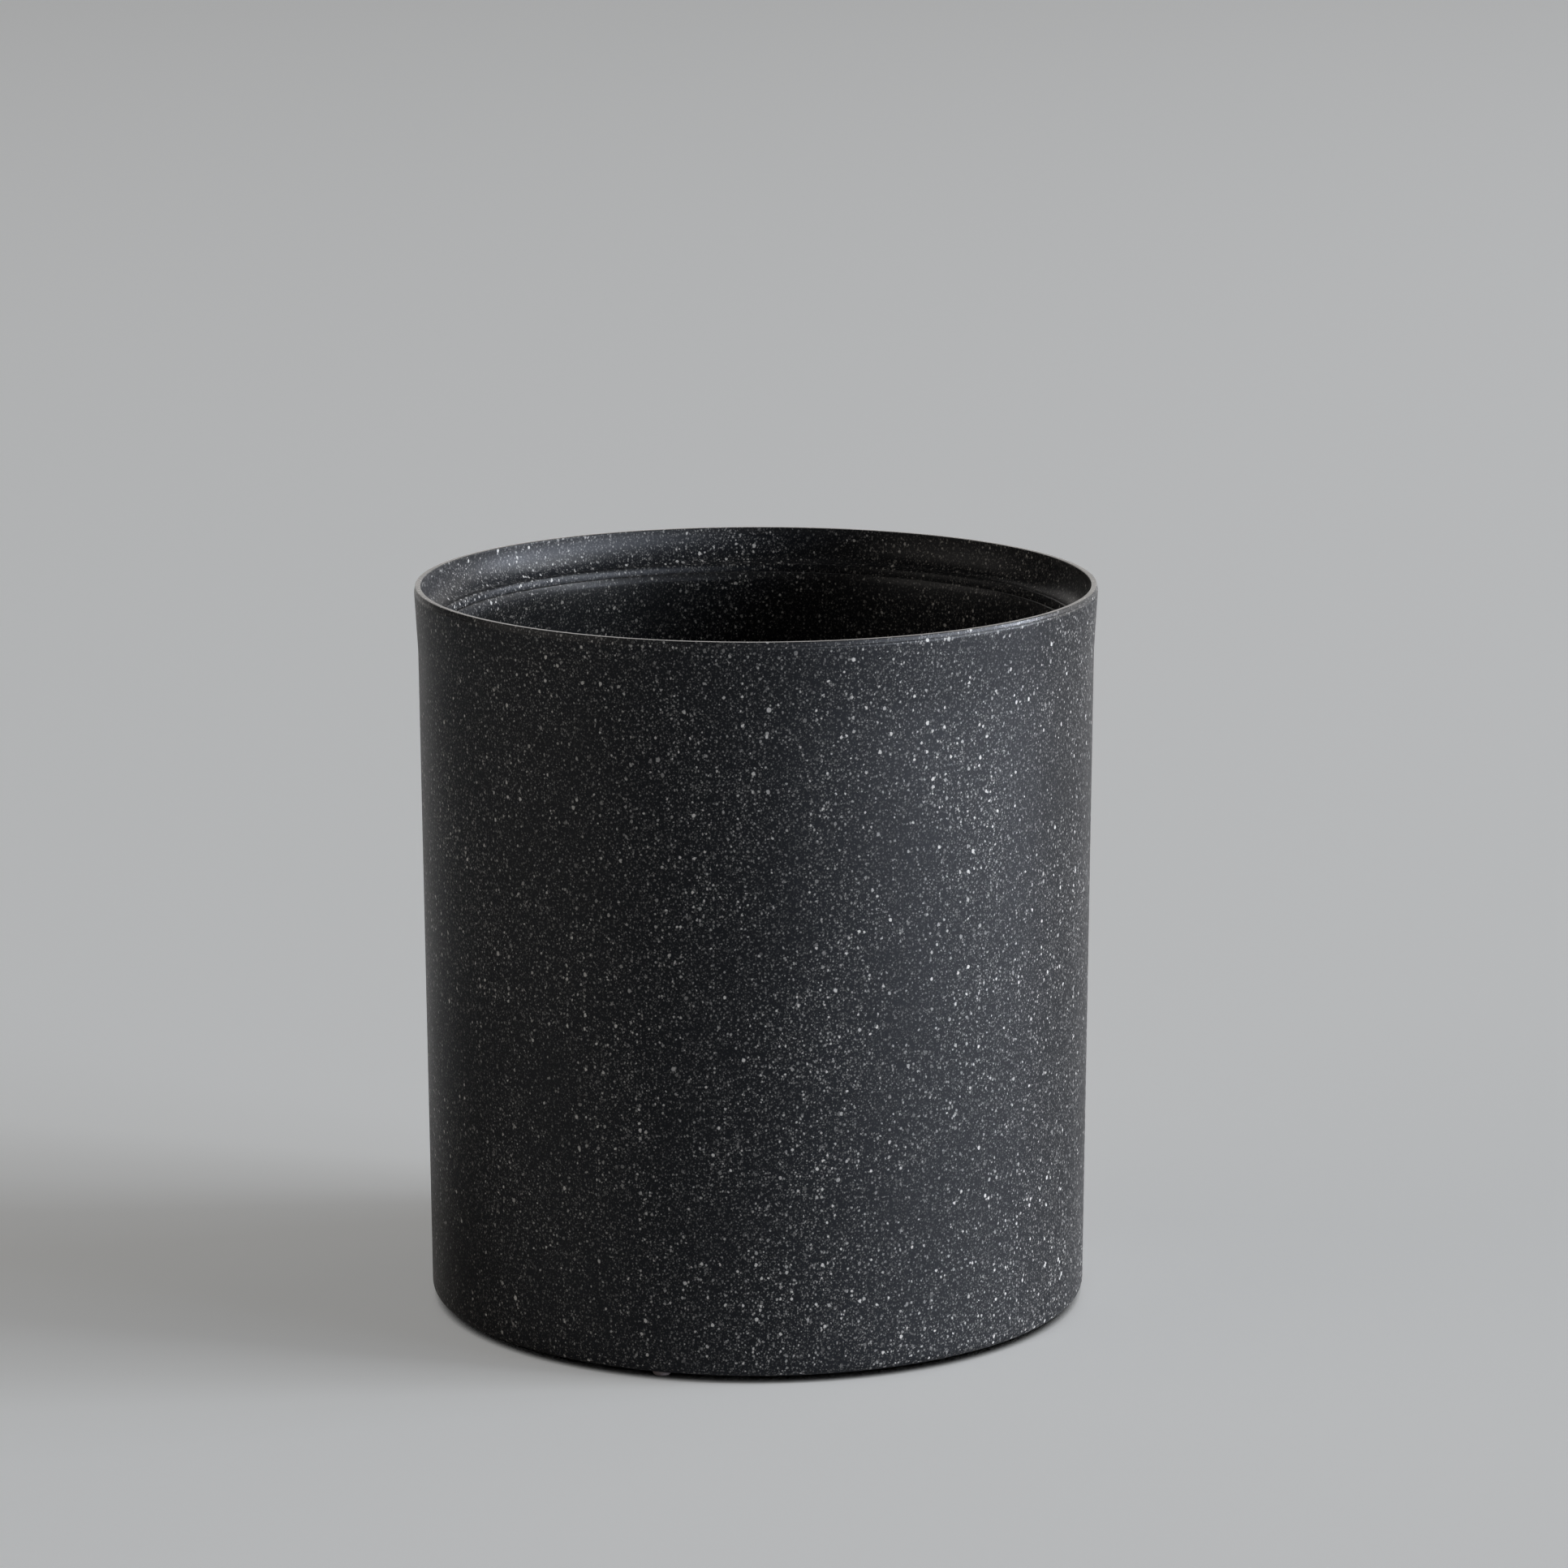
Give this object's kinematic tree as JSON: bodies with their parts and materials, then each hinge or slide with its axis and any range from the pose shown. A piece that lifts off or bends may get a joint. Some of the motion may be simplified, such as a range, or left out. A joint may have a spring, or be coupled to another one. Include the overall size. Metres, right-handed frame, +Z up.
{
  "type": "cotton jar",
  "caption": "Open straight-sided round cotton jar: speckled outer shell with a stepped mouth, a lift-out inner cup and three small soft feet.",
  "frame": {"origin": "centre of the jar, in the plane that it stands on", "axes": "+Z up along the jar's axis; the pictured side faces -Y; +X to the right"},
  "size_m": [0.0932, 0.0932, 0.1],
  "materials": {
    "shell_plastic": "satin, charcoal with fine white and grey specks",
    "cup_plastic": "satin, charcoal with fine white and grey specks",
    "foot_silicone": "milky soft silicone"
  },
  "bodies": {
    "jar": {"outer_shell": "shell_plastic", "foot_front": "foot_silicone", "foot_right_rear": "foot_silicone", "foot_left_rear": "foot_silicone"},
    "cup": {"inner_cup": "cup_plastic"}
  },
  "joints": [
    {"name": "cup_lift", "type": "slide", "parent": "jar", "child": "cup", "axis": [0, 0, 1], "range_m": [0, 0.1]}
  ]
}
